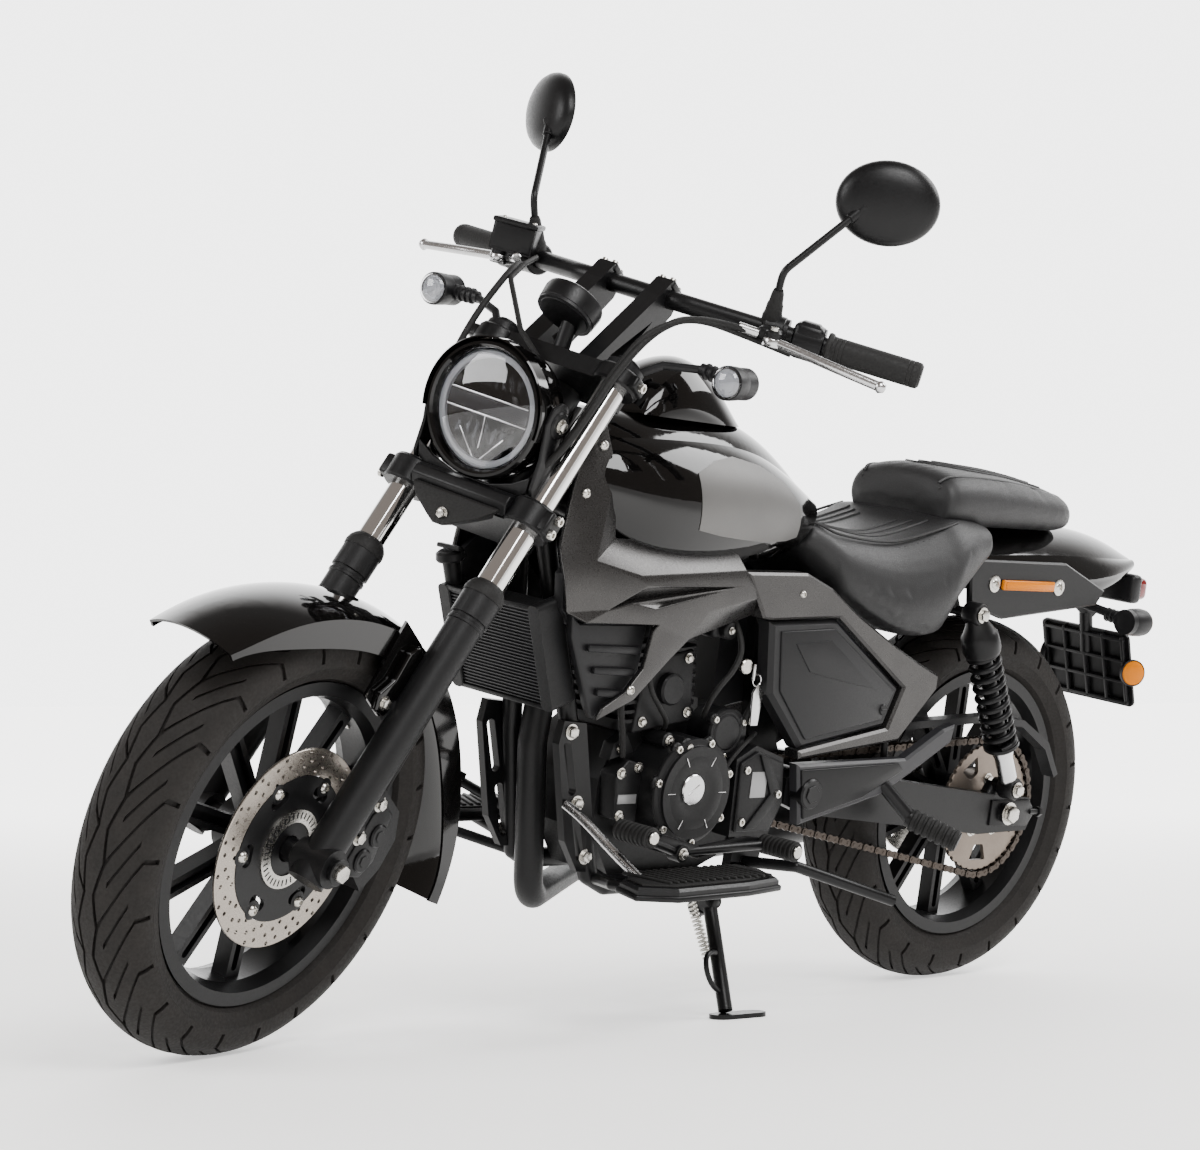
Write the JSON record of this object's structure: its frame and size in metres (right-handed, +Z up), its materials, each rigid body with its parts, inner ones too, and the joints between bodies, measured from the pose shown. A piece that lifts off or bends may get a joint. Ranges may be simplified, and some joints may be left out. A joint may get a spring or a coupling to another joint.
{
  "type": "cruiser motorcycle",
  "caption": "Low cruiser motorcycle with cast wheels, raked fork, teardrop tank, padded seats and twin rear shocks, parked leaning on its side stand.",
  "frame": {"origin": "on the ground under the middle of the parked motorcycle", "axes": "+X forward along the wheels, +Y to the left where it leans, +Z up"},
  "size_m": [2.2104, 0.833, 1.4462],
  "materials": {
    "gloss_black": "gloss black enamel",
    "graphite": "satin graphite metallic",
    "black_plastic": "fine grained black",
    "frame_black": "satin black powder coat",
    "engine_black": "wrinkle black coat",
    "fork_chrome": "hard chrome",
    "bare_steel": "ground steel",
    "wheel_black": "satin black coat",
    "tyre_rubber": "moulded rubber",
    "soft_rubber": "ribbed rubber",
    "seat_vinyl": "grained vinyl",
    "lamp_lens": "clear moulded lens",
    "red_lens": "red lens",
    "exhaust_black": "heat-proof matt black",
    "lever_alloy": "polished alloy",
    "mirror_shell": "gloss black shell"
  },
  "bodies": {
    "chassis": {"main_frame": "frame_black", "crankcase": "engine_black", "cylinder": "engine_black", "engine_covers": "engine_black", "radiator": "engine_black", "airbox": "black_plastic", "fuel_tank": "gloss_black", "tank_console": "gloss_black", "rider_seat": "seat_vinyl", "pillion_seat": "seat_vinyl", "shrouds": "graphite", "side_covers": "black_plastic", "frame_covers": "graphite", "pivot_covers": "black_plastic", "rear_fender": "gloss_black", "fender_struts": "black_plastic", "swingarm": "frame_black", "rear_axle": "bare_steel", "chain": "bare_steel", "chain_guard": "black_plastic", "shock_dampers": "frame_black", "shock_springs": "frame_black", "tail_light": "red_lens", "plate_bracket": "black_plastic", "rear_signals": "black_plastic", "exhaust_header": "exhaust_black", "muffler": "exhaust_black", "footboards": "soft_rubber", "foot_pedals": "frame_black", "pillion_pegs": "soft_rubber"},
    "steering": {"triple_clamps": "frame_black", "fork_tubes": "fork_chrome", "fork_sliders": "frame_black", "front_axle": "bare_steel", "front_fender": "gloss_black", "front_caliper": "engine_black", "brake_hose": "soft_rubber", "headlight_shell": "gloss_black", "headlight_lens": "lamp_lens", "headlight_bracket": "black_plastic", "bar_risers": "frame_black", "handlebar": "frame_black", "grips": "soft_rubber", "bar_controls": "black_plastic", "levers": "lever_alloy", "mirrors": "mirror_shell", "front_signals": "black_plastic", "instrument": "black_plastic"},
    "front_wheel": {"front_tyre": "tyre_rubber", "front_wheel": "wheel_black", "front_disc": "bare_steel", "disc_carrier": "wheel_black"},
    "rear_wheel": {"rear_tyre": "tyre_rubber", "rear_wheel": "wheel_black", "sprocket": "bare_steel", "rear_disc": "bare_steel"},
    "side_stand": {"side_stand": "frame_black"}
  },
  "joints": [
    {"name": "steering", "type": "hinge", "parent": "chassis", "child": "steering", "pos_m": [0.39093, -0.0032, 0.83378], "axis": [-0.5415, 0.16, 0.8253], "range_deg": [-48, 16]},
    {"name": "front_wheel_spin", "type": "hinge", "parent": "steering", "child": "front_wheel", "pos_m": [0.79981, -0.09236, 0.29845], "axis": [-0.2324, 0.915, -0.3299], "continuous": true},
    {"name": "rear_wheel_spin", "type": "hinge", "parent": "chassis", "child": "rear_wheel", "pos_m": [-0.67346, -0.10584, 0.30983], "axis": [-0.0007, 0.9816, -0.1908], "continuous": true},
    {"name": "side_stand_fold", "type": "hinge", "parent": "chassis", "child": "side_stand", "pos_m": [0.00201, -0.01841, 0.17006], "axis": [0.1446, 0.9154, 0.3758], "range_deg": [0, 92]}
  ]
}
